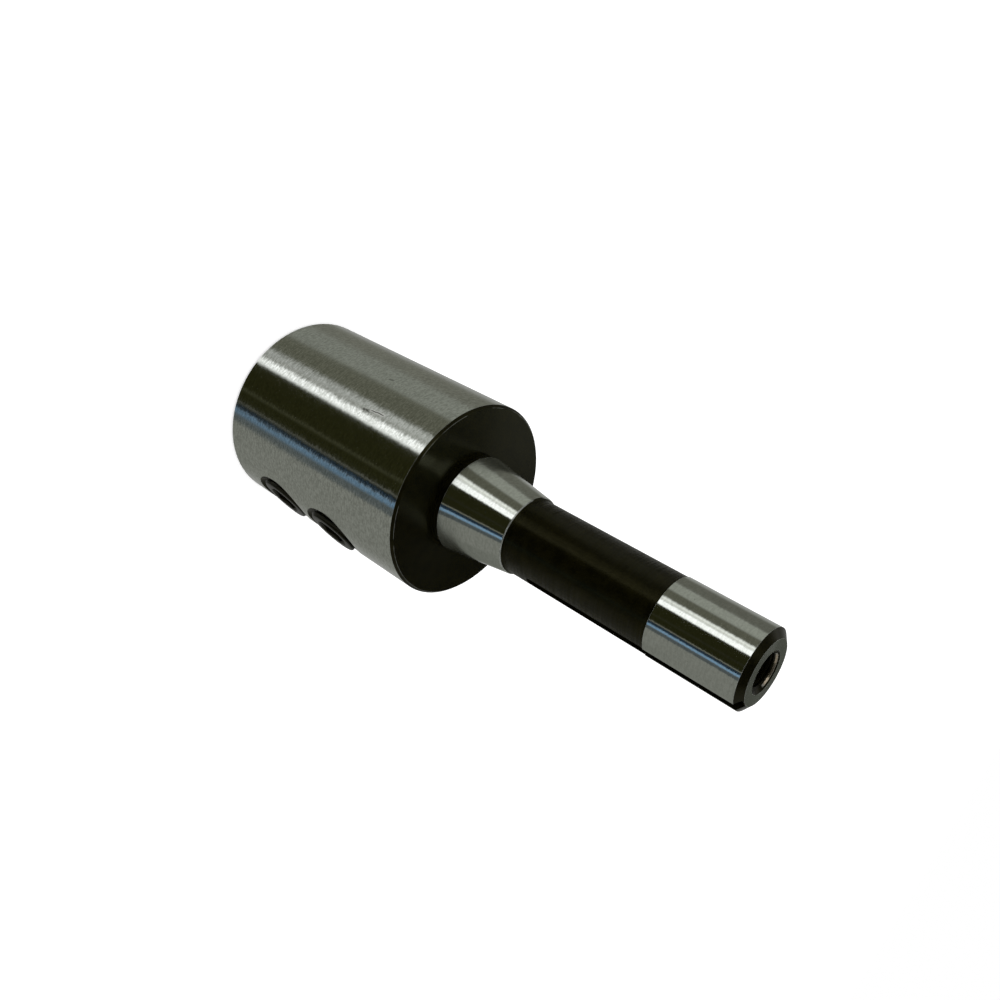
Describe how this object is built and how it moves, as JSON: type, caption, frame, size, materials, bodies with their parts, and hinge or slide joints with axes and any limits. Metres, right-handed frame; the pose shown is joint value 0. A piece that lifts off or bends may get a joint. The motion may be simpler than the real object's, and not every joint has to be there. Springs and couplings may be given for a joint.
{
  "type": "end mill holder",
  "caption": "Thick steel cylinder with a blind bore for a cutter, socket set screws that clamp it from the side, and a slim tapered machine shank with a keyway.",
  "frame": {"origin": "centre of the nose face, which the holder stands on", "axes": "+Z along the holder's axis from the nose to the end of the shank; the set screws and the keyway face -Y"},
  "size_m": [0.0636, 0.0638, 0.1858],
  "materials": {
    "ground_steel": "cylindrically ground and bright on the body, taper and pilot; black oxide on the shoulder, relief, keyway, chamfers and holes",
    "black_screw_steel": "black oxide, lightly oiled"
  },
  "bodies": {
    "holder": {"holder": "ground_steel"},
    "set_screw_front": {"set_screw_front": "black_screw_steel"},
    "set_screw_rear": {"set_screw_rear": "black_screw_steel"}
  },
  "joints": [
    {"name": "front_screw_travel", "type": "slide", "parent": "holder", "child": "set_screw_front", "axis": [0, 1, 0], "range_m": [-0.00317, 0.00476]},
    {"name": "rear_screw_travel", "type": "slide", "parent": "holder", "child": "set_screw_rear", "axis": [0, 1, 0], "range_m": [-0.00317, 0.00476]}
  ]
}
